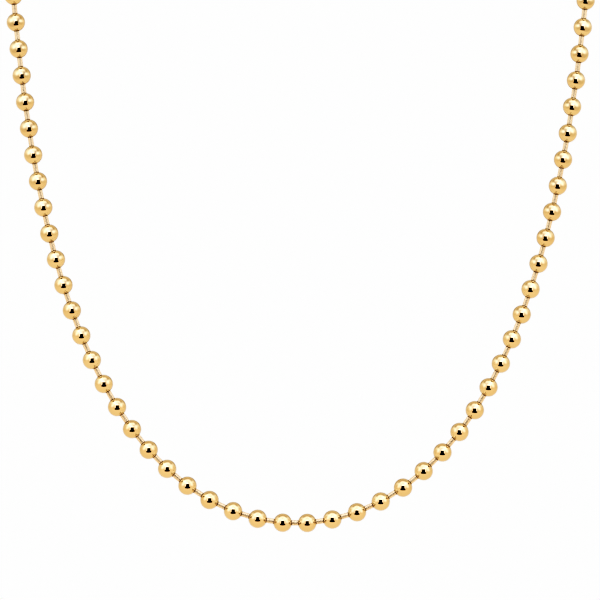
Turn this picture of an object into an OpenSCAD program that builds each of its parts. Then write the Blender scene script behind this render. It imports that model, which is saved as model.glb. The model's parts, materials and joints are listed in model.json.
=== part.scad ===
// Ball chain necklace
// Hollow balls strung on dumbbell rods, closed at the nape by a plain coupling.
// Millimetres. +Z is up, +Y is to the back and +X is to the viewer's right.
// The origin is the middle of the coupling, where the chain lies on the nape.

/* [Balls] */
// Outside diameter of a ball
ball_d = 4; // [3.6:0.1:6]
// Thickness of the sheet that a ball is rolled from
ball_wall = 0.25; // [0.2:0.01:0.35]

/* [Rods] */
// Diameter of a rod
rod_d = 1.1; // [0.8:0.05:1.3]
// Bare rod that shows between two balls when the chain is tight
rod_show = 1.85; // [1.2:0.05:3]
// Gap round a rod where it passes through a ball
rod_gap = 0.11; // [0.1:0.01:0.15]
// How far a rod's head stands out past its hole, on the radius
head_catch = 0.08; // [0.06:0.01:0.12]
// Share of its play that the lowest rod has given up
lowest_slack = 0.8; // [0:0.02:1]
// How many rods away from the lowest one that slack fades
slack_fade = 2.6; // [1:0.1:6]

/* [Coupling] */
// Wall of the coupling's sleeve
sleeve_wall = 0.4; // [0.3:0.05:0.8]
// Thickness of the sleeve's two ends
sleeve_end = 0.6; // [0.4:0.05:1.2]
// Gap between the sleeve and the two balls that it holds
sleeve_gap = 0.12; // [0.1:0.01:0.2]
// Gap between the two held balls
held_apart = 2.6; // [1:0.1:5]
// Bevel on the sleeve's outside edges
sleeve_bevel = 0.3; // [0.1:0.05:0.35]

/* [Necklace] */
// Length all round, made up to a whole number of balls
necklace_len = 502; // [440:2:600]
// Width that the front opens out to
front_w = 136.8; // [120:0.2:150]
// Height in which the front opens out
front_h = 63.3; // [50:0.1:80]
// Height at which the chain folds back over the shoulders
fold_h = 118; // [100:1:130]
// Radius of that fold, seen from the side
fold_r = 28; // [15:1:40]
// How far the front leans back from upright, in degrees
lean = 18; // [0:1:30]
// How steeply the back climbs from the fold to the nape, in degrees
climb = 25; // [0:1:45]

/* [Hidden] */
$fn = 48;

// Ball and rod
hole_d = rod_d + 2 * rod_gap;
head_d = hole_d + 2 * head_catch;
ball_inside_r = ball_d / 2 - ball_wall;
tight_pitch = ball_d + rod_show;

// Height of a point on a sphere above its centre, at a given distance from the axis
function rise_at(sphere_r, axis_r) = sqrt(sphere_r * sphere_r - axis_r * axis_r);

// A tight rod stops where its head is the rod gap short of the rim of its hole
head_out = rise_at(ball_inside_r, hole_d / 2) - rise_at(head_d / 2 + rod_gap, hole_d / 2);
// A slack rod stops where the two heads in a ball are the rod gap apart
head_in = head_d / 2 + rod_gap / 2;
rod_len = tight_pitch - 2 * head_out;
rod_play = 2 * (head_out - head_in);

// Rod 0 is the lowest one, and rod k runs from ball k - 1 to ball k on each side
function pitch(k) = tight_pitch - rod_play * lowest_slack * exp(-k / slack_fade);
function ball_run(k) = k == 0 ? pitch(0) / 2 : ball_run(k - 1) + pitch(k);

// Coupling
pocket_d = ball_d + 2 * sleeve_gap;
sleeve_d = pocket_d + 2 * sleeve_wall;
held_x = (ball_d + held_apart) / 2;
pocket_l = 2 * held_x + pocket_d;
sleeve_l = pocket_l + 2 * sleeve_end;

// Balls on each side, where the first one is half a pitch from the middle,
// and the length of half the necklace that they give
per_side = round((necklace_len / 2 - held_x) / tight_pitch + 1 / 2);
half_len = ball_run(per_side - 1) + held_x;

// Route of the chain, laid out flat: half of its width at a height above the lowest point.
// The front opens out by an exponential, and above the fold the back closes in as an ellipse.
function opened(h) = sqrt(max(0, 1 - exp(-h / front_h)));
function closed(h, top) = h < fold_h ? 1 : sqrt(max(0, 1 - pow((h - fold_h) / (top - fold_h), 2)));
function half_w(h, top) = front_w / 2 * opened(h) * closed(h, top);

// Points along the route, closer together at the bottom and at the nape, where it turns most
route_steps = 400;
function route_points(top) = [
    for (i = [0 : route_steps])
        let (h = top * (1 - cos(180 * i / route_steps)) / 2)
            [half_w(h, top), h]
];

// Distance along the route to each of its points
function route_runs(points) = [
    for (i = 0, run = 0; i < len(points);
         run = run + (i + 1 < len(points) ? norm(points[i + 1] - points[i]) : 0), i = i + 1)
        run
];

// Height of the nape at which the route is as long as half of the necklace:
// each try moves it by what the last one was short
nape_tries = 12;
function nape_height(top, tries) =
    tries == 0 ? top
    : nape_height(top + half_len - route_runs(route_points(top))[route_steps], tries - 1);
nape_h = nape_height(half_len - front_w / 2, nape_tries);

route = route_points(nape_h);
runs = route_runs(route);
x_table = [for (i = [0 : route_steps]) [runs[i], route[i][0]]];
h_table = [for (i = [0 : route_steps]) [runs[i], route[i][1]]];

// The flat layout folded back: how far [back, up] from the lowest point each height comes to lie
fold_turn = 90 - climb - lean;
fold_run = fold_r * fold_turn * PI / 180;
function on_front(h) = h * [sin(lean), cos(lean)];
function on_fold(turned) =
    on_front(fold_h) + fold_r * [cos(lean) - cos(lean + turned), sin(lean + turned) - sin(lean)];
function folded(h) =
    h < fold_h ? on_front(h)
    : h < fold_h + fold_run ? on_fold(fold_turn * (h - fold_h) / fold_run)
    : on_fold(fold_turn) + (h - fold_h - fold_run) * [cos(climb), sin(climb)];

// Where the two balls in the coupling lie, which is the level of the origin
held = folded(lookup(ball_run(per_side - 1), h_table));

// Centre of ball k on one side: -1 is the left side and 1 the right one
function ball_x(k) = k == per_side - 1 ? held_x : lookup(ball_run(k), x_table);
function ball_centre(k, side) =
    let (place = folded(lookup(ball_run(k), h_table)) - held)
        [side * ball_x(k), place[0], place[1]];

// All the balls in order, from the one that the coupling holds on the left
// round the front to the one that it holds on the right
centres = [
    for (k = [per_side - 1 : -1 : 0]) ball_centre(k, -1),
    for (k = [0 : per_side - 1]) ball_centre(k, 1)
];
ball_count = len(centres);

// How far a rod beside the coupling has swung off the sleeve's line where it leaves the sleeve
end_rod = centres[1] - centres[0];
rod_swing = (sleeve_l / 2 - held_x) * norm([end_rod[1], end_rod[2]]) / abs(end_rod[0]);
mouth_d = hole_d + 2 * rod_swing;

// Places its children at one point, turned so that their Z axis points at another
module aimed(from, at) {
    way = at - from;
    translate(from)
        rotate([0, acos(way[2] / norm(way)), atan2(way[1], way[0])])
            children();
}

// A hollow ball with its first hole on the Z axis
module drilled_ball() {
    difference() {
        sphere(d = ball_d);
        sphere(r = ball_inside_r);
        cylinder(d = hole_d, h = ball_d);
    }
}

// Ball i, with a hole on the line to each of its two neighbours
module ball(i) {
    before = centres[(i + ball_count - 1) % ball_count];
    after = centres[(i + 1) % ball_count];
    difference() {
        aimed(centres[i], after) drilled_ball();
        aimed(centres[i], before) cylinder(d = hole_d, h = ball_d);
    }
}

// A rod with a round head on each end, midway between two balls
module rod(i) {
    aimed((centres[i] + centres[i + 1]) / 2, centres[i + 1]) {
        cylinder(d = rod_d, h = rod_len, center = true);
        for (end = [-1, 1])
            translate([0, 0, end * rod_len / 2]) sphere(d = head_d);
    }
}

module balls() {
    color("gold")
        for (i = [0 : ball_count - 1]) ball(i);
}

module rods() {
    color("goldenrod")
        for (i = [0 : ball_count - 2]) rod(i);
}

// Half of the sleeve's outline, turned about Z
module sleeve_outline() {
    outer = sleeve_d / 2;
    half = sleeve_l / 2;
    polygon([
        [0, -half],
        [outer - sleeve_bevel, -half],
        [outer, -half + sleeve_bevel],
        [outer, half - sleeve_bevel],
        [outer - sleeve_bevel, half],
        [0, half]
    ]);
}

// A sleeve round the two end balls. It is slotted on the side away from the neck: the balls
// go in at the round window in its middle, and their rods slide along the slot to its ends.
module coupling() {
    color("darkgoldenrod")
        rotate([climb, 0, 0])
            difference() {
                rotate([0, 90, 0]) rotate_extrude() sleeve_outline();
                rotate([0, 90, 0]) cylinder(d = pocket_d, h = pocket_l, center = true);
                rotate([0, 90, 0]) cylinder(d = mouth_d, h = 2 * sleeve_l, center = true);
                translate([-sleeve_l, 0, -hole_d / 2]) cube([2 * sleeve_l, sleeve_d, hole_d]);
                rotate([-90, 0, 0]) cylinder(d = pocket_d, h = sleeve_d);
            }
}

balls();
rods();
coupling();
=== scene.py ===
import json
import math
import bpy
import numpy as np
from mathutils import Matrix


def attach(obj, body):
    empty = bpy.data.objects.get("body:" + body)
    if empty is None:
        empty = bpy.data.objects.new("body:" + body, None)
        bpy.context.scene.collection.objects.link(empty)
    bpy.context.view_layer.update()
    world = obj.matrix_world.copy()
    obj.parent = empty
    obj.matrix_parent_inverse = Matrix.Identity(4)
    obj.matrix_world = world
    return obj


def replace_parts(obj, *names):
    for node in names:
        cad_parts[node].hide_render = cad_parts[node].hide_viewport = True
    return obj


# Ball chain necklace in polished gold plate, hanging as it is worn.
# Lengths are in metres and angles in degrees, unless a name says otherwise.

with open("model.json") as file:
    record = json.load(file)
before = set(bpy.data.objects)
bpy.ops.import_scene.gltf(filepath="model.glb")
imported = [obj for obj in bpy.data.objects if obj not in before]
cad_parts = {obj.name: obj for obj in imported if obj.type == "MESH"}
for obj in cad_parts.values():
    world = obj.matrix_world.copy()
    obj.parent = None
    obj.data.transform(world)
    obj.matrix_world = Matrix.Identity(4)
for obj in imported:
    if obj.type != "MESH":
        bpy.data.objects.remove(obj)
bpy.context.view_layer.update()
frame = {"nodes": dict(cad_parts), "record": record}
mm = 1000.0                   # millimetres in a metre
print("frame:", ", ".join(sorted(frame["nodes"])))


# What the chain measures, read off the frame

def unit(vectors):
    # Each vector divided by its length
    return vectors / np.linalg.norm(vectors, axis=-1, keepdims=True)


def solidPoints(node, weld=1e-7):
    # A node's points, welded, with the number of the solid that each belongs to:
    # every point takes the lowest number on its triangles until no number changes
    mesh = frame["nodes"][node].data
    points = np.empty(len(mesh.vertices) * 3)
    mesh.vertices.foreach_get("co", points)
    corners = np.empty(len(mesh.loops), np.int32)
    mesh.loops.foreach_get("vertex_index", corners)
    welded, place = np.unique(np.round(points.reshape(-1, 3) / weld), axis=0, return_inverse=True)
    triangles = place.ravel()[corners].reshape(-1, 3)
    number = np.arange(len(welded))
    settled = False
    while not settled:
        lower = number.copy()
        np.minimum.at(lower, triangles.ravel(), np.repeat(number[triangles].min(axis=1), 3))
        lower = lower[lower]
        settled = np.array_equal(lower, number)
        number = lower
    return welded * weld, number


def sphereCentre(points):
    # Centre c of the sphere that the points lie on, from p.p = 2 c.p + (r.r - c.c) for each point p
    sums = np.column_stack([2 * points, np.ones(len(points))])
    return np.linalg.lstsq(sums, (points ** 2).sum(axis=1), rcond=None)[0][:3]


def measureBalls():
    # Centre of each ball in order along the chain, and a ball's outside, inside and hole radius
    points, number = solidPoints("balls")
    solids = [points[number == solid] for solid in np.unique(number)]
    centres = []
    for own in solids:
        # the outside points lie further out than the inside ones
        far = np.linalg.norm(own - (own.min(axis=0) + own.max(axis=0)) / 2, axis=1)
        centres.append(sphereCentre(own[far > (far.min() + far.max()) / 2]))
    centres = np.array(centres)
    # down the left strand from the nape to the lowest ball, then up the right strand. The height
    # starts from 1, because a height of 0 would have no side.
    height = centres[:, 2] - centres[:, 2].min() + 1
    order = np.argsort(np.sign(centres[:, 0]) * height)
    centres = centres[order]
    lowest = len(centres) // 2
    own = solids[order[lowest]] - centres[lowest]
    reach = np.linalg.norm(own, axis=1)
    outside, inside = reach.max(), reach.min()
    way = unit(centres[lowest + 1] - centres[lowest])
    outer = own[(reach > (outside + inside) / 2) & (own @ way > 0)]
    hole = np.linalg.norm(outer - np.outer(outer @ way, way), axis=1).min()
    return centres, outside, inside, hole


ballCentres, ballOutside, ballInside, holeRadius = measureBalls()
ballCount = len(ballCentres)
toNext = unit(np.roll(ballCentres, -1, axis=0) - ballCentres)
toLast = unit(np.roll(ballCentres, 1, axis=0) - ballCentres)
mounts = {mount["name"]: mount for mount in frame["record"]["mounts"]}
lowestPoint = np.array(mounts["pendant_seat"]["pos_m"], float)
napeUp = unit(np.array(mounts["nape"]["axis"], float))
print("chain: %d balls of %.2f mm, wall %.2f mm, holes %.2f mm"
      % (ballCount, ballOutside * 2 * mm, (ballOutside - ballInside) * mm, holeRadius * 2 * mm))


# Camera

view = {
    "elevation": 18.0,
    "roll": 0.5,              # how far the chain's loop is turned in the picture
    "aimAcross": 0.00068,     # where the camera aims, from the chain's lowest point
    "aimUp": 0.04884,
    "width": 0.1312,          # what the picture takes in at the chain
    "lens": 300.0,            # this and the sensor's width are in millimetres
    "sensor": 36.0,
    "clip": (0.05, 60.0),
}

# ways in the frame: from the chain back to the camera, and right and up in its picture
tilt = math.radians(view["elevation"])
cameraBack = np.array([0.0, -math.cos(tilt), math.sin(tilt)])
cameraRight = np.array([1.0, 0.0, 0.0])
cameraUp = np.cross(cameraBack, cameraRight)


def makeCamera():
    # It stands width * lens / sensor back from where it aims, and is rolled about that line
    camera = bpy.data.objects.new("camera", bpy.data.cameras.new("camera"))
    bpy.context.scene.collection.objects.link(camera)
    camera.data.lens = view["lens"]
    camera.data.sensor_width = view["sensor"]
    camera.data.clip_start, camera.data.clip_end = view["clip"]
    roll = math.radians(view["roll"])
    right = math.cos(roll) * cameraRight + math.sin(roll) * cameraUp
    up = math.cos(roll) * cameraUp - math.sin(roll) * cameraRight
    aim = lowestPoint + view["aimAcross"] * cameraRight + view["aimUp"] * cameraUp
    place = aim + cameraBack * view["width"] * view["lens"] / view["sensor"]
    matrix = Matrix.Identity(4)
    for column, way in enumerate((right, up, cameraBack, place)):
        matrix[0][column], matrix[1][column], matrix[2][column] = way
    camera.matrix_world = matrix
    bpy.context.scene.camera = camera


makeCamera()
print("camera: set")


# Surfaces on a grid

def makePiece(name, points, faces, uv, marks=None):
    # One mesh object from arrays: points, faces as rows of point numbers, and a uv pair for each
    # face corner. marks are named values of the points, which a material can read.
    mesh = bpy.data.meshes.new(name)
    sizes = np.concatenate([np.full(len(rows), rows.shape[1]) for rows in faces])
    starts = np.concatenate([[0], np.cumsum(sizes)[:-1]])
    corners = np.concatenate([rows.ravel() for rows in faces])
    mesh.vertices.add(len(points))
    mesh.vertices.foreach_set("co", points.astype(np.float32).ravel())
    mesh.loops.add(len(corners))
    mesh.loops.foreach_set("vertex_index", corners.astype(np.int32))
    mesh.polygons.add(len(sizes))
    mesh.polygons.foreach_set("loop_start", starts.astype(np.int32))
    mesh.polygons.foreach_set("use_smooth", np.ones(len(sizes), bool))
    layer = mesh.uv_layers.new(name="along")
    layer.uv.foreach_set("vector", np.concatenate(uv).astype(np.float32).ravel())
    for mark, values in (marks or {}).items():
        attribute = mesh.attributes.new(mark, "FLOAT", "POINT")
        attribute.data.foreach_set("value", values.astype(np.float32).ravel())
    mesh.update()
    piece = bpy.data.objects.new(name, mesh)
    bpy.context.scene.collection.objects.link(piece)
    return piece


def gridFaces(copies, rows, columns, closedRows, closedColumns=True):
    # Quads of several equal grids, whose points are numbered copy by copy and row by row,
    # with the row and column of each corner before the last one wraps round to the first
    row, column = np.meshgrid(np.arange(rows if closedRows else rows - 1),
                              np.arange(columns if closedColumns else columns - 1), indexing="ij")
    cornerRow = np.stack([row, row + 1, row + 1, row], axis=-1).reshape(-1, 4)
    cornerColumn = np.stack([column, column, column + 1, column + 1], axis=-1).reshape(-1, 4)
    one = (cornerRow % rows) * columns + cornerColumn % columns
    every = (np.arange(copies) * rows * columns)[:, None, None] + one
    return every.reshape(-1, 4), cornerRow, cornerColumn


def aboutAxis(axis, towards):
    # Two directions square to an axis and to each other, the first one nearest to a given way
    first = unit(towards - (towards * axis).sum(axis=-1, keepdims=True) * axis)
    return first, np.cross(axis, first)


# Balls

balls = {
    "columns": 44,            # faces round a ball, beside those of the seam
    "rings": 24,              # faces from one hole to the other
    "closerRings": 0.045,     # how far they are drawn towards the holes
    "insideRings": 6,
    "edgeRadius": 0.00006,    # rounding of the sheet's edge at a hole
    "edgeFaces": 3,
    "seamWidth": 0.00010,     # groove where the rolled sheet's two edges meet
    "seamDepth": 0.00005,
    "seamSpread": 18,         # how far balls are turned from facing the neck with their seams
    "seamResidueAndShade": 0.7,       # strength of the painted shade and residue in the seam groove, beside 1 in a hole
    "neck": (0.0, -0.035, -0.055),
    "residueAndShadeReach": 0.00038,  # how far the painted shade and residue spread from a hole
    "seed": 7,
}


def ballProfile():
    # Profile of the rolled sheet, once round the wall, as angles from the ball's axis and
    # distances from its centre: the outside from hole to hole, round that hole's edge, back along
    # the inside, and round the first hole's edge. An edge is two arcs, each about a point that
    # lies hole + edge off the axis and touching the hole and one of the two spheres.
    edge = balls["edgeRadius"]
    off = holeRadius + edge
    outer = np.array([math.sqrt((ballOutside - edge) ** 2 - off ** 2), off])
    inner = np.array([math.sqrt((ballInside + edge) ** 2 - off ** 2), off])
    outerStart = math.atan2(outer[1], outer[0])
    innerStart = math.atan2(inner[1], inner[0])
    arc = np.linspace(0, 1, balls["edgeFaces"] + 1)
    outerTurn = outerStart + (-math.pi / 2 - outerStart) * arc[1:]
    innerTurn = -math.pi / 2 + (innerStart - math.pi / 2) * arc[:-1]
    edgePoints = np.concatenate([
        outer + edge * np.column_stack([np.cos(outerTurn), np.sin(outerTurn)]),
        inner + edge * np.column_stack([np.cos(innerTurn), np.sin(innerTurn)]),
    ])
    angle = np.arctan2(edgePoints[:, 1], edgePoints[:, 0])
    reach = np.hypot(edgePoints[:, 0], edgePoints[:, 1])
    share = np.linspace(0, 1, balls["rings"] + 1)
    share = share - balls["closerRings"] * np.sin(2 * math.pi * share)
    outAngle = outerStart + (math.pi - 2 * outerStart) * share
    backAngle = np.linspace(math.pi - innerStart, innerStart, balls["insideRings"] + 1)
    angles = np.concatenate([outAngle, math.pi - angle, backAngle, angle[::-1]])
    reaches = np.concatenate([np.full(len(outAngle), ballOutside), reach,
                              np.full(len(backAngle), ballInside), reach[::-1]])
    return angles, reaches


def makeBalls(name, first, last):
    # Each ball is rings of points. A ring is a circle at one angle from the ring's axis, which
    # turns from the way to the next ball to the way from the last one, so that both holes lie on
    # the chain. The seam is a groove from hole to hole, and is (1 - (turn / half its width)^2) of
    # its depth deep.
    angles, reaches = ballProfile()
    centres, ahead, behind = (ways[first:last] for ways in (ballCentres, toNext, toLast))
    count = len(centres)
    chance = np.random.default_rng(balls["seed"] + first)
    spread = np.radians(chance.normal(0, balls["seamSpread"], count))
    shade = chance.uniform(0, 1, count)

    # the rings' axes, and for each the way to the neck and the one square to both
    share = np.clip((angles - angles.min()) / (angles.max() - angles.min()), 0, 1)
    share = (share ** 2 * (3 - 2 * share))[None, :, None]
    axis = unit((1 - share) * ahead[:, None] - share * behind[:, None])
    toNeck = np.array(balls["neck"]) - centres
    across, up = aboutAxis(axis, np.broadcast_to(toNeck[:, None], axis.shape))

    # the points, numbered by ball, ring and turn
    halfSeam = balls["seamWidth"] / 2 / ballOutside
    beside = np.linspace(halfSeam, 2 * math.pi - halfSeam, balls["columns"] + 2)[1:-1]
    turns = np.concatenate([halfSeam * np.array([-1, -0.5, 0, 0.5, 1]), beside])
    turn = turns[None, None, :, None] + spread[:, None, None, None]
    around = np.cos(turn) * across[:, :, None] + np.sin(turn) * up[:, :, None]
    groove = np.clip(1 - (np.minimum(turns, 2 * math.pi - turns) / halfSeam) ** 2, 0, 1)
    outside = (reaches > (ballOutside + ballInside) / 2).astype(float)
    reach = reaches[:, None] - balls["seamDepth"] * outside[:, None] * groove[None, :]
    points = centres[:, None, None] + reach[None, :, :, None] * (
        np.cos(angles)[None, :, None, None] * axis[:, :, None]
        + np.sin(angles)[None, :, None, None] * around)

    # painted shade with some polish residue: 1 in a hole, fading over the outside beyond its edge
    holeAngle = math.asin(holeRadius / ballOutside)
    fromHole = (np.minimum(angles, math.pi - angles) - holeAngle) * ballOutside
    residueAndShade = np.where(outside > 0, np.clip(1 - fromHole / balls["residueAndShadeReach"], 0, 1), 1.0)
    residueAndShade = np.maximum(residueAndShade[:, None], balls["seamResidueAndShade"] * groove[None, :])

    # uv is how far a corner lies round the ball and along the profile, in millimetres
    faces, cornerRow, cornerColumn = gridFaces(count, len(angles), len(turns), closedRows=True)
    steps = np.hypot(np.diff(np.append(reaches, reaches[0])),
                     reaches * np.diff(np.append(angles, angles[0])))
    run = np.concatenate([[0], np.cumsum(steps)])
    girth = np.append(turns, turns[0] + 2 * math.pi) * ballOutside
    uv = (np.stack([girth[cornerColumn], run[cornerRow]], axis=-1) * mm).reshape(-1, 2)
    piece = makePiece(name, points.reshape(-1, 3), [faces], [np.tile(uv, (count, 1))], marks={
        "residueAndShade": np.broadcast_to(residueAndShade, (count,) + residueAndShade.shape),
        "shade": np.repeat(shade, residueAndShade.size),
    })
    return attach(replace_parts(piece, "balls"), "root")


leftBalls = makeBalls("balls_left", 0, ballCount // 2)
rightBalls = makeBalls("balls_right", ballCount // 2, ballCount)
print("balls:", len(leftBalls.data.polygons), "+", len(rightBalls.data.polygons), "faces")


# Rods

rods = {
    "wire": 0.0011,           # diameter of the bare wire
    "head": 0.00148,          # diameter of the round head inside a ball
    "columns": 28,
    "headFaces": 8,
    "rowInside": 0.25,        # where the wire has a row of points between a head and the hole
    "rowOutside": 0.35,       # and where it has one between the rod's middle and the hole
    "residueAndShadeReach": 0.00005,  # how far the painted shade and residue come out of a ball along the wire
    "residueAndShadeFade": 0.00010,
    "seed": 31,
}


def makeRods():
    # A rod is a profile turned about the line between two balls: a head's arc down to where it
    # meets the wire, the wire, and the other head's arc. Its ends are single points. The rows of
    # the wire lie where it leaves each ball, and the lowest rod of the frame gives the length.
    middle = (ballCentres[:-1] + ballCentres[1:]) / 2
    ways = unit(np.diff(ballCentres, axis=0))
    pitch = np.linalg.norm(np.diff(ballCentres, axis=0), axis=1)
    wire, head = rods["wire"] / 2, rods["head"] / 2
    count, columns = len(middle), rods["columns"]
    points, number = solidPoints("rods")
    fromLowest = points - lowestPoint
    lowestRod = number == number[np.linalg.norm(fromLowest, axis=1).argmin()]
    toTip = np.abs(fromLowest[lowestRod] @ ways[len(ways) // 2]).max()
    toHead = toTip - head

    # how far each row lies along its rod and out from it
    arc = np.linspace(0, math.pi - math.asin(wire / head), rods["headFaces"] + 1)[1:]
    headAlong, headOut = toHead + head * np.cos(arc), head * np.sin(arc)
    halfBare = pitch / 2 - math.sqrt(ballOutside ** 2 - holeRadius ** 2)
    unmarked = halfBare - rods["residueAndShadeReach"] - rods["residueAndShadeFade"]
    bar = np.stack([headAlong[-1] + (halfBare - headAlong[-1]) * rods["rowInside"], halfBare,
                    unmarked + rods["residueAndShadeFade"], unmarked + rods["residueAndShadeFade"] / 2, unmarked,
                    halfBare * rods["rowOutside"]], axis=1)
    half = np.concatenate([np.broadcast_to(headAlong, (count, len(headAlong))), bar], axis=1)
    along = np.concatenate([half, np.zeros((count, 1)), -half[:, ::-1]], axis=1)
    out = np.concatenate([headOut, np.full(2 * bar.shape[1] + 1, wire), headOut[::-1]])
    rows = len(out)

    # the points, numbered by rod, row and turn, and after them the two tips of each rod
    across, up = aboutAxis(ways, np.broadcast_to([0.0, 1.0, 0.0], ways.shape))
    turn = (np.arange(columns) * 2 * math.pi / columns)[:, None]
    around = np.cos(turn) * across[:, None] + np.sin(turn) * up[:, None]
    grid = (middle[:, None, None] + along[:, :, None, None] * ways[:, None, None]
            + out[None, :, None, None] * around[:, None])
    tips = np.stack([middle + toTip * ways, middle - toTip * ways], axis=1)
    points = np.concatenate([grid.reshape(-1, 3), tips.reshape(-1, 3)])

    # quads between the rows, and a fan of triangles round each tip
    faces, cornerRow, cornerColumn = gridFaces(count, rows, columns, closedRows=False)
    here = np.arange(columns)
    after = (here + 1) % columns
    start = np.arange(count)[:, None] * rows * columns
    end = start + (rows - 1) * columns
    tip = count * rows * columns + 2 * np.arange(count)[:, None] + 0 * here
    caps = np.concatenate([np.stack([tip, start + here, start + after], axis=-1).reshape(-1, 3),
                           np.stack([tip + 1, end + after, end + here], axis=-1).reshape(-1, 3)])

    # uv is how far a corner lies round the wire and along it, in millimetres
    girth = np.arange(columns + 1) * 2 * math.pi / columns * wire
    girths = np.broadcast_to(girth, (count, columns + 1))
    uv = np.stack([girths[:, cornerColumn], along[:, cornerRow]], axis=-1).reshape(-1, 2) * mm
    capUv = np.tile(np.stack([girth[[0, 0, 1]], np.full(3, toTip)], axis=-1) * mm, (len(caps), 1))

    # painted shade with some polish residue: on the wire where it goes into a ball, and at its tips
    # inside
    residueAndShade = np.clip((np.abs(along) - unmarked[:, None]) / rods["residueAndShadeFade"], 0, 1)
    shade = np.random.default_rng(rods["seed"]).uniform(0, 1, count)
    piece = makePiece("rod_wires", points, [faces, caps], [uv, capUv], marks={
        "shade": np.concatenate([np.repeat(shade, rows * columns), np.repeat(shade, 2)]),
        "residueAndShade": np.concatenate([np.repeat(residueAndShade.ravel(), columns), np.ones(2 * count)]),
    })
    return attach(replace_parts(piece, "rods"), "root")


rodWires = makeRods()
print("rods:", len(rodWires.data.polygons), "faces")


# Coupling

coupling = {
    "mouth": 0.00185,         # diameter of the opening in each end
    "wall": 0.0004,
    "endWall": 0.0006,
    "corner": 0.0003,         # rounding of the outside corners
    "insideCorner": 0.0001,
    "edgeRound": 0.00007,     # rounding of the cut edges
    "edgeSegments": 2,
    "edgeAngle": 40,          # an edge that turns by more than this is a cut edge
    "columns": 56,
    "windowRows": 28,
    "barRows": 8,
    "capRows": 4,
    "cornerRows": 4,
}


def makeCoupling():
    # A sleeve of sheet metal about the X axis, as two surfaces of matching rows, outside and
    # inside. A row turns from one side of the slot round to the other. The slot's half-width is
    # that of the balls' holes, or the round window's sqrt(r^2 - x^2) where that is wider.
    points = solidPoints("coupling")[0]
    half = points[:, 0].max()
    outer = np.linalg.norm(points[:, 1:], axis=1).max()
    pocket, mouth = outer - coupling["wall"], coupling["mouth"] / 2
    sweep = math.acos(holeRadius / pocket) * np.linspace(-1, 1, coupling["windowRows"] + 1)
    window = pocket * np.sin(sweep)
    cap = np.linspace(0, 1, coupling["capRows"] + 1)[:-1]
    bend = np.linspace(math.pi / 2, 0, coupling["cornerRows"] + 1)
    bar = np.linspace(1, 0, coupling["barRows"] + 1)[1:-1]

    def halfProfile(end, radius, rounding):
        # from the mouth out along the end wall, round the corner and along the side to the window
        x = np.concatenate([np.full(len(cap), end), end - rounding + rounding * np.sin(bend),
                            window[-1] + (end - rounding - window[-1]) * bar])
        out = np.concatenate([mouth + (radius - rounding - mouth) * cap,
                              radius - rounding + rounding * np.cos(bend),
                              np.full(len(bar), radius)])
        return x, out

    slotWay = np.cross(napeUp, [1.0, 0.0, 0.0])              # away from the neck
    share = np.linspace(0, 1, coupling["columns"] + 1)
    surfaces, lengths = [], []
    for end, radius, rounding in ((half, outer, coupling["corner"]),
                                  (half - coupling["endWall"], pocket, coupling["insideCorner"])):
        x, out = halfProfile(end, radius, rounding)
        x = np.concatenate([-x, window, x[::-1]])
        out = np.concatenate([out, np.full(len(window), radius), out[::-1]])
        width = np.maximum(holeRadius, np.sqrt(np.clip(pocket ** 2 - x ** 2, 0, None)))
        start = np.arcsin(width / out)
        turn = start[:, None] + (2 * math.pi - 2 * start[:, None]) * share
        surfaces.append(x[:, None, None] * np.array([1.0, 0.0, 0.0]) + out[:, None, None] * (
            np.cos(turn)[..., None] * slotWay + np.sin(turn)[..., None] * napeUp))
        lengths.append(np.stack([turn * radius, np.broadcast_to(x[:, None], turn.shape)], axis=-1))

    # the rim, once round the sheet, joins the two surfaces
    rows, columns = surfaces[0].shape[:2]
    inside = rows * columns                                  # number of the first point inside
    faces = gridFaces(1, rows, columns, closedRows=False, closedColumns=False)[0]
    number = np.arange(rows * columns).reshape(rows, columns)
    rim = np.concatenate([number[0, :-1], number[:-1, -1], number[-1, :0:-1], number[:0:-1, 0]])
    onward = np.roll(rim, -1)
    rimFaces = np.stack([rim, rim + inside, onward + inside, onward], axis=-1)
    quads = np.concatenate([faces[:, ::-1], faces + inside, rimFaces])
    points = np.concatenate([surface.reshape(-1, 3) for surface in surfaces])
    uv = np.concatenate([length.reshape(-1, 2) for length in lengths])[quads].reshape(-1, 2) * mm
    piece = makePiece("coupling_sleeve", points, [quads], [uv])
    rounding = piece.modifiers.new("cut edges", "BEVEL")
    rounding.width = coupling["edgeRound"]
    rounding.segments = coupling["edgeSegments"]
    rounding.limit_method = "ANGLE"
    rounding.angle_limit = math.radians(coupling["edgeAngle"])
    rounding.harden_normals = True
    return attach(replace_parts(piece, "coupling"), "root")


couplingSleeve = makeCoupling()
print("coupling:", len(couplingSleeve.data.polygons), "faces")


# Materials. Noise scales are per millimetre.

golds = {                     # run: hairlines' grain each way. waves, lines: heights in metres
    "ballGold": {"colour": (0.93, 0.70, 0.425), "roughness": 0.055, "wear": 0.03,
                 "run": (6.0, 34.0, 9.0), "waves": 4e-7, "lines": 1.2e-7, "onUv": False},
    "rodGold": {"colour": (0.935, 0.735, 0.50), "roughness": 0.50, "wear": 0.04,
                "run": (22.0, 0.08, 1.0), "waves": 0.0, "lines": 9.6e-6, "onUv": True},
    "couplingGold": {"colour": (0.90, 0.68, 0.41), "roughness": 0.24, "wear": 0.06,
                     "run": (22.0, 0.6, 1.0), "waves": 4e-7, "lines": 7.2e-7, "onUv": True},
}

polish = {
    "waveScale": 1.6,         # gentle waves of the polished plate
    "waveDetail": 2.0,
    "lineDetail": 3.0,        # hairlines of the polishing cloth
    "turnRadians": 0.6,       # how far the second set of them is turned from the first
    "turnAxis": (0.3, 0.2, 1.0),
    "secondLines": 0.6,       # height of the second set beside the first
}

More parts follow.
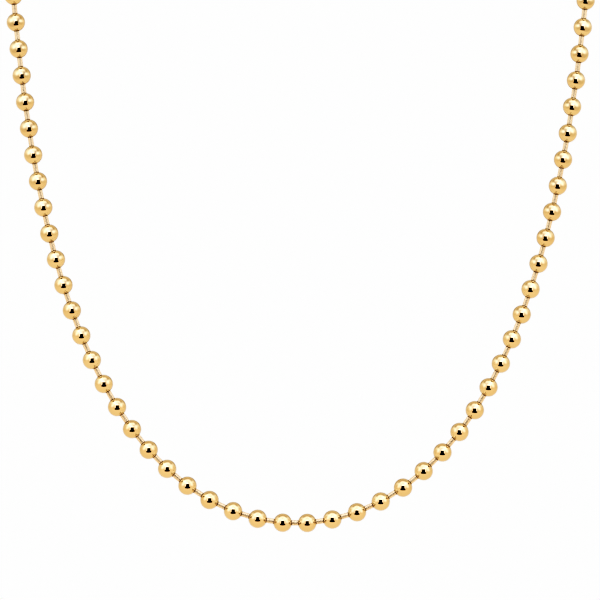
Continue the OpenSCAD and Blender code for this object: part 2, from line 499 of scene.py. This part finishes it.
tone = {
    "mirroredColour": (1.0, 0.95, 0.83),     # painted reflection: a lighter plate where it is seen in other gold
    # colour of the painted shade and polish residue at the holes, seams and wires' ends
    "residueAndShadeColour": (0.38, 0.23, 0.06),
    "driftScale": 0.09,       # slow change of the cast along the chain
    "driftDetail": 2.0,
    "driftShare": 0.6,        # what it and the difference between balls have of the cast
    "shadeShare": 0.4,
    "hue": (0.497, 0.503),    # from one end of the cast to the other
    "saturation": (1.03, 0.96),
    "value": (0.985, 1.01),
    "speckScale": 6.0,        # specks that make the edge of the painted shade and residue ragged
    "speckDetail": 3.0,
    "speckStrength": 0.5,
    "residueAndShadeStep": (0.1, 0.85),              # between these the painted shade and residue close over the plate
    "residueAndShadeRoughness": 0.3,
}


def addNode(tree, kind, inputs=None, **settings):
    # A node with its settings, and with each given input linked to a socket or set to a value
    made = tree.nodes.new(kind)
    for key, value in settings.items():
        setattr(made, key, value)
    for key, value in (inputs or {}).items():
        if isinstance(value, bpy.types.NodeSocket):
            tree.links.new(value, made.inputs[key])
        else:
            made.inputs[key].default_value = value
    return made


def calc(tree, operation, *values):
    # One step of arithmetic on values, each a number or a socket
    return addNode(tree, "ShaderNodeMath", dict(enumerate(values)), operation=operation).outputs[0]


def onto(tree, value, low, high):
    # Maps 0 to 1 onto low to high
    ends = {"Value": value, "To Min": low, "To Max": high}
    return addNode(tree, "ShaderNodeMapRange", ends).outputs["Result"]


def smoothStep(tree, value, low, high):
    # 0 up to low, 1 from high on, and 3 t^2 - 2 t^3 between them
    ends = {"Value": value, "From Min": low, "From Max": high}
    return addNode(tree, "ShaderNodeMapRange", ends,
                   interpolation_type="SMOOTHSTEP").outputs["Result"]


def noise(tree, vector, scale, detail):
    # Soft noise, about 0 to 1, with scale as its grains in a unit of the vector
    given = {"Vector": vector, "Scale": scale, "Detail": detail}
    return addNode(tree, "ShaderNodeTexNoise", given).outputs[0]


def mixColours(tree, factor, first, second):
    # A colour mix has its factor at input 0, its colours at 6 and 7 and its result at output 2.
    # A colour is a socket or three numbers.
    first, second = (colour if isinstance(colour, bpy.types.NodeSocket) else (*colour, 1.0)
                     for colour in (first, second))
    return addNode(tree, "ShaderNodeMix", {0: factor, 6: first, 7: second},
                   data_type="RGBA").outputs[2]


def newGroup(name, inputs, outputs):
    # An empty node group, with the sockets that it is given and those of its result
    tree = bpy.data.node_groups.new(name, "ShaderNodeTree")
    for way, sockets in (("INPUT", inputs), ("OUTPUT", outputs)):
        for label, kind in sockets.items():
            tree.interface.new_socket(name=label, in_out=way, socket_type="NodeSocket" + kind)
    return tree, tree.nodes.new("NodeGroupInput").outputs, tree.nodes.new("NodeGroupOutput").inputs


def polishMarksGroup():
    # Height of a polished surface, in metres: long gentle waves, and two sets of hairlines, which
    # are noise drawn out along one direction each. Wear is where the hairlines lie closest.
    tree, given, result = newGroup(
        "polishMarks", {"Vector": "Vector", "Run": "Vector", "Waves": "Float", "Lines": "Float"},
        {"Height": "Float", "Wear": "Float"})
    waves = noise(tree, given["Vector"], polish["waveScale"], polish["waveDetail"])
    turned = addNode(tree, "ShaderNodeVectorRotate", {
        "Vector": given["Vector"], "Angle": polish["turnRadians"], "Axis": polish["turnAxis"],
    }, rotation_type="AXIS_ANGLE").outputs[0]
    sets = []
    for vector in (given["Vector"], turned):
        drawn = addNode(tree, "ShaderNodeVectorMath", {0: vector, 1: given["Run"]},
                        operation="MULTIPLY").outputs[0]
        sets.append(noise(tree, drawn, 1.0, polish["lineDetail"]))
    lines = calc(tree, "MULTIPLY_ADD", sets[1], polish["secondLines"], sets[0])
    height = calc(tree, "MULTIPLY_ADD", waves, given["Waves"],
                  calc(tree, "MULTIPLY", lines, given["Lines"]))
    tree.links.new(height, result["Height"])
    tree.links.new(calc(tree, "MULTIPLY", sets[0], sets[1]), result["Wear"])
    return tree


def goldToneGroup():
    # Colour of gold plate: its cast drifts slowly over the chain and differs a little from ball to
    # ball, and a darker colour covers it at the holes, seams and wires' ends: painted shade, with
    # some polish residue
    tree, given, result = newGroup(
        "goldTone", {"Vector": "Vector", "Shade": "Float", "ResidueAndShade": "Float", "Plate": "Color",
                     "ResidueAndShade Colour": "Color"}, {"Color": "Color", "Cover": "Float"})
    drift = noise(tree, given["Vector"], tone["driftScale"], tone["driftDetail"])
    cast = calc(tree, "MULTIPLY_ADD", drift, tone["driftShare"],
                calc(tree, "MULTIPLY", given["Shade"], tone["shadeShare"]))
    plate = addNode(tree, "ShaderNodeHueSaturation", {
        "Hue": onto(tree, cast, *tone["hue"]), "Saturation": onto(tree, cast, *tone["saturation"]),
        "Value": onto(tree, given["Shade"], *tone["value"]), "Color": given["Plate"],
    }).outputs[0]
    specks = noise(tree, given["Vector"], tone["speckScale"], tone["speckDetail"])
    ragged = calc(tree, "MULTIPLY_ADD", calc(tree, "SUBTRACT", specks, 0.5),
                  tone["speckStrength"], given["ResidueAndShade"])
    cover = smoothStep(tree, ragged, *tone["residueAndShadeStep"])
    tree.links.new(mixColours(tree, cover, plate, given["ResidueAndShade Colour"]), result["Color"])
    tree.links.new(cover, result["Cover"])
    return tree


polishMarks = polishMarksGroup()
goldTone = goldToneGroup()


def makeGold(name):
    # Polished plate: metal with the shared tone and polish marks, rougher where it is marked
    gold = golds[name]
    material = bpy.data.materials.new(name)
    material.use_nodes = True
    tree = material.node_tree
    shader = tree.nodes["Principled BSDF"]
    shader.inputs["Metallic"].default_value = 1.0
    place = addNode(tree, "ShaderNodeTexCoord").outputs
    inMillimetres = addNode(tree, "ShaderNodeMapping", {"Vector": place["Object"],
                                                        "Scale": (mm, mm, mm)}).outputs[0]
    # painted reflection: gold seen in other gold is made lighter, because the two casts would add
    # up to orange
    seenInReflection = addNode(tree, "ShaderNodeLightPath").outputs["Is Glossy Ray"]
    toned = addNode(tree, "ShaderNodeGroup", {
        "Vector": inMillimetres,
        "Shade": addNode(tree, "ShaderNodeAttribute", attribute_name="shade").outputs["Fac"],
        "ResidueAndShade": addNode(tree, "ShaderNodeAttribute", attribute_name="residueAndShade").outputs["Fac"],
        "Plate": mixColours(tree, seenInReflection, gold["colour"], tone["mirroredColour"]),
        "ResidueAndShade Colour": (*tone["residueAndShadeColour"], 1.0),
    }, node_tree=goldTone)
    marks = addNode(tree, "ShaderNodeGroup", {
        "Vector": place["UV"] if gold["onUv"] else inMillimetres, "Run": gold["run"],
        "Waves": gold["waves"], "Lines": gold["lines"],
    }, node_tree=polishMarks)
    bare = onto(tree, marks.outputs["Wear"], gold["roughness"] - gold["wear"],
                gold["roughness"] + gold["wear"] * 2)
    rough = calc(tree, "MULTIPLY_ADD", toned.outputs["Cover"], tone["residueAndShadeRoughness"], bare)
    bump = addNode(tree, "ShaderNodeBump", {"Height": marks.outputs["Height"], "Distance": 1.0})
    tree.links.new(toned.outputs["Color"], shader.inputs["Base Color"])
    tree.links.new(rough, shader.inputs["Roughness"])
    tree.links.new(bump.outputs[0], shader.inputs["Normal"])
    return material


for name, pieces in (("ballGold", (leftBalls, rightBalls)), ("rodGold", (rodWires,)),
                     ("couplingGold", (couplingSleeve,))):
    gold = makeGold(name)
    for piece in pieces:
        piece.data.materials.append(gold)
print("materials: set")


# Studio: what the gold reflects. An aim is (degrees off the camera's axis, degrees round from the
# right), so that (40, 90) is above the camera. Lobes are soft glows of the tent all round.

studio = {
    "white": 0.993,           # floor and tent as the camera itself sees them
    "tent": 1.21,
    "lobes": [                # aim, spread, strength
        ((19.7, 90.0), 0.141, 3.93),        # key above the camera
        ((36.2, 90.0), 0.774, -1.47),       # what keeps its glow from the rest of the tent
        ((24.7, 44.4), 0.048, -1.18),       # darker beside the key
        ((24.7, 135.6), 0.048, -1.18),
        ((72.1, 73.2), 0.070, 1.61),        # top softboxes
        ((72.1, 106.8), 0.070, 1.61),
        ((61.1, 20.2), 0.110, 0.86),        # side softboxes
        ((61.1, 159.8), 0.110, 0.86),
        ((158.6, 13.6), 0.068, -0.92),      # darker behind the chain
        ((158.6, 166.4), 0.068, -0.92),
    ],
    "least": 0.04,            # no part of the tent is darker
    "hotTint": (1.0, 1.11, 1.36),           # cool cast of the tent where it is brightest
    "hotRange": (1.0, 1.39),  # brightness from none to all of the cast
    "horizon": (-0.065, 0.05),              # height of a direction from floor to tent
    "floor": 0.941,
    "floorRise": -0.089,      # what the horizon has more at the back and less at the front
    "floorShare": 0.85,       # how much of that the floor has a metre from the chain
    "floorHeight": -0.5,
    "floorRadius": 8.0,
    "floorCorners": 48,
    "pairs": {                # at: across, up and towards the camera from the lowest point
        "strip": {"at": (0.160, 0.169, 0.040), "size": (0.139, 0.066), "glows": 0.60, "dims": 0.0,
                  "tint": (1.0, 1.38, 1.90)},
        "net": {"at": (0.038, 0.134, 0.038), "size": (0.120, 0.110), "glows": 0.0, "dims": 0.30,
                "tint": (1.0, 1.0, 1.0)},
    },
    "pairAim": (0.0, 0.110, 0.0),
    "pairReach": 2.2,         # how many sizes a panel goes out from its middle
    "cards": {                # at: towards the camera. outline: its right half, across and up
        "card_front": {"at": 0.371, "colour": (0.0, 0.0, 0.0),
                       "outline": ((0.258, -0.226), (0.252, -0.137), (0.232, -0.106),
                                   (0.195, -0.082), (0.159, -0.057), (0.138, -0.026),
                                   (0.132, 0.188))},
        "card_rear": {"at": -0.45, "colour": (0.55, 0.44, 0.32),
                      "outline": ((0.140, -0.120), (0.120, 0.200))},
    },
}

# Tone of the picture: a brightness in the scene, and the one that is shown
toneCurve = ((0.08, 0.001), (0.18, 0.026), (0.32, 0.10), (0.5, 0.317), (0.7, 0.602), (0.88, 0.850))


def fromCamera(place):
    # A direction or place (across, up, towards the camera) as one in the frame
    return place[0] * cameraRight + place[1] * cameraUp + place[2] * cameraBack


def softLobeGroup():
    # Glow round one direction: strength * exp(-(1 - direction . towards) / spread)
    tree, given, result = newGroup(
        "softLobe", {"Direction": "Vector", "Towards": "Vector", "Spread": "Float",
                     "Strength": "Float"}, {"Value": "Float"})
    along = addNode(tree, "ShaderNodeVectorMath", {0: given["Direction"], 1: given["Towards"]},
                    operation="DOT_PRODUCT").outputs["Value"]
    share = calc(tree, "DIVIDE", calc(tree, "SUBTRACT", along, 1.0), given["Spread"])
    glow = calc(tree, "MULTIPLY", calc(tree, "EXPONENT", share), given["Strength"])
    tree.links.new(glow, result["Value"])
    return tree


def seenWhite(tree, strength):
    # The strength that reflections see, and plain white where the camera looks straight at it.
    # A mix of numbers has them at inputs 2 and 3.
    ray = addNode(tree, "ShaderNodeLightPath").outputs["Is Camera Ray"]
    return addNode(tree, "ShaderNodeMix", {0: ray, 2: strength, 3: studio["white"]},
                   data_type="FLOAT").outputs[0]


def withHotTint(tree, strength):
    # White light that takes on the cast as it gets brighter
    low, high = studio["hotRange"]
    hot = addNode(tree, "ShaderNodeMapRange", {"Value": strength, "From Min": low,
                                               "From Max": high}).outputs["Result"]
    return mixColours(tree, hot, (1.0, 1.0, 1.0), studio["hotTint"])


def makeTent():
    # The tent's own brightness and that of all the lobes, and from the horizon down the floor's
    world = bpy.data.worlds.new("tent")
    world.use_nodes = True
    tree = world.node_tree
    bpy.context.scene.world = world
    softLobe = softLobeGroup()
    direction = addNode(tree, "ShaderNodeTexCoord").outputs["Generated"]
    total = studio["tent"]
    for (off, turn), spread, strength in studio["lobes"]:
        off, turn = math.radians(off), math.radians(turn)
        towards = fromCamera((math.sin(off) * math.cos(turn), math.sin(off) * math.sin(turn),
                              math.cos(off)))
        lobe = addNode(tree, "ShaderNodeGroup", {
            "Direction": direction, "Towards": towards, "Spread": spread, "Strength": strength,
        }, node_tree=softLobe)
        total = calc(tree, "ADD", lobe.outputs["Value"], total)
    height = addNode(tree, "ShaderNodeSeparateXYZ", {"Vector": direction}).outputs["Z"]
    above = smoothStep(tree, height, *studio["horizon"])
    front = addNode(tree, "ShaderNodeVectorMath", {0: direction, 1: cameraBack},
                    operation="DOT_PRODUCT").outputs["Value"]
    low = calc(tree, "MULTIPLY_ADD", front, -studio["floorRise"], studio["floor"])
    rise = calc(tree, "SUBTRACT", calc(tree, "MAXIMUM", total, studio["least"]), low)
    strength = seenWhite(tree, calc(tree, "MULTIPLY_ADD", rise, above, low))
    background = tree.nodes["Background"]
    tree.links.new(withHotTint(tree, strength), background.inputs["Color"])
    tree.links.new(strength, background.inputs["Strength"])


def stagePiece(name, points, uv, material, seen):
    # A flat piece of the studio from its corner points
    mesh = bpy.data.meshes.new(name)
    mesh.from_pydata([tuple(point) for point in points], [], [tuple(range(len(points)))])
    layer = mesh.uv_layers.new(name="card")
    layer.uv.foreach_set("vector", np.asarray(uv, np.float32).ravel())
    mesh.materials.append(material)
    piece = bpy.data.objects.new(name, mesh)
    bpy.context.scene.collection.objects.link(piece)
    piece.visible_camera = seen
    piece.visible_shadow = False


def glowMaterial(name, colour):
    # An even glow of one colour, with its nodes for what a piece changes in it
    material = bpy.data.materials.new(name)
    material.use_nodes = True
    tree = material.node_tree
    tree.nodes.remove(tree.nodes["Principled BSDF"])
    glow = addNode(tree, "ShaderNodeEmission", {"Color": (*colour, 1.0), "Strength": 1.0})
    tree.links.new(glow.outputs[0], tree.nodes["Material Output"].inputs["Surface"])
    return material, tree, glow


def makeFloor():
    # A round floor, whose brightness changes evenly over the metre to the back and to the front
    material, tree, glow = glowMaterial("paleFloor", (1.0, 1.0, 1.0))
    uv = addNode(tree, "ShaderNodeUVMap", uv_map="card").outputs[0]
    back = addNode(tree, "ShaderNodeSeparateXYZ", {"Vector": uv}).outputs["Y"]
    rise = studio["floorRise"] * studio["floorShare"]
    slope = addNode(tree, "ShaderNodeMapRange", {
        "Value": back, "From Min": -1.0, "From Max": 1.0,
        "To Min": studio["floor"] - rise, "To Max": studio["floor"] + rise,
    }).outputs["Result"]
    tree.links.new(seenWhite(tree, slope), glow.inputs["Strength"])
    count, radius = studio["floorCorners"], studio["floorRadius"]
    turn = np.arange(count) * 2 * math.pi / count
    points = np.stack([np.cos(turn) * radius, np.sin(turn) * radius,
                       np.full(count, studio["floorHeight"])], axis=-1)
    stagePiece("floor", points, points[:, :2], material, seen=True)


def makeSoftPair(name, pair):
    # A pair of see-through panels at the sides, which add a glow to the tent behind them or dim
    # it as a net does. Both fall off from the middle as exp(-(u^2 + v^2)), u and v being 1 at the
    # panel's size.
    material, tree, glow = glowMaterial(name, pair["tint"])
    uv = addNode(tree, "ShaderNodeUVMap", uv_map="card").outputs[0]
    length = addNode(tree, "ShaderNodeVectorMath", {0: uv}, operation="LENGTH").outputs["Value"]
    square = calc(tree, "MULTIPLY", length, length)
    fall = calc(tree, "EXPONENT", calc(tree, "MULTIPLY", square, -1.0))
    tree.links.new(calc(tree, "MULTIPLY", fall, pair["glows"]), glow.inputs["Strength"])
    passes = calc(tree, "MULTIPLY_ADD", fall, -pair["dims"], 1.0)
    through = addNode(tree, "ShaderNodeBsdfTransparent", {"Color": passes})
    added = addNode(tree, "ShaderNodeAddShader", {0: glow.outputs[0], 1: through.outputs[0]})
    tree.links.new(added.outputs[0], tree.nodes["Material Output"].inputs["Surface"])
    corners = studio["pairReach"] * np.array([(-1, -1), (1, -1), (1, 1), (-1, 1)])
    across, up, towards = pair["at"]
    for side, label in ((-1, "left"), (1, "right")):
        middle = lowestPoint + fromCamera((side * across, up, towards))
        facing = unit(lowestPoint + fromCamera(studio["pairAim"]) - middle)
        wide = unit(np.cross(cameraUp, facing))
        high = np.cross(facing, wide)
        points = (middle + corners[:, :1] * pair["size"][0] * wide
                  + corners[:, 1:] * pair["size"][1] * high)
        stagePiece("%s_%s" % (name, label), points, corners, material, seen=False)


def makeCard(name, card):
    # A card square to the camera's axis, from the outline of its right half
    right = np.array(card["outline"])
    corners = np.concatenate([right, right[::-1] * (-1, 1)])
    points = (lowestPoint + corners[:, :1] * cameraRight + corners[:, 1:] * cameraUp
              + card["at"] * cameraBack)
    stagePiece(name, points, corners, glowMaterial(name, card["colour"])[0], seen=False)


def setTone():
    # The tone curve acts on each colour before the standard view, and gives white as white
    settings = bpy.context.scene.view_settings
    settings.view_transform = "Standard"
    settings.use_curve_mapping = True
    curve = settings.curve_mapping.curves[3]
    for given, shown in toneCurve:
        curve.points.new(given, shown)
    settings.curve_mapping.update()


makeTent()
makeFloor()
for name, pair in studio["pairs"].items():
    makeSoftPair(name, pair)
for name, card in studio["cards"].items():
    makeCard(name, card)
setTone()
print("studio: set")
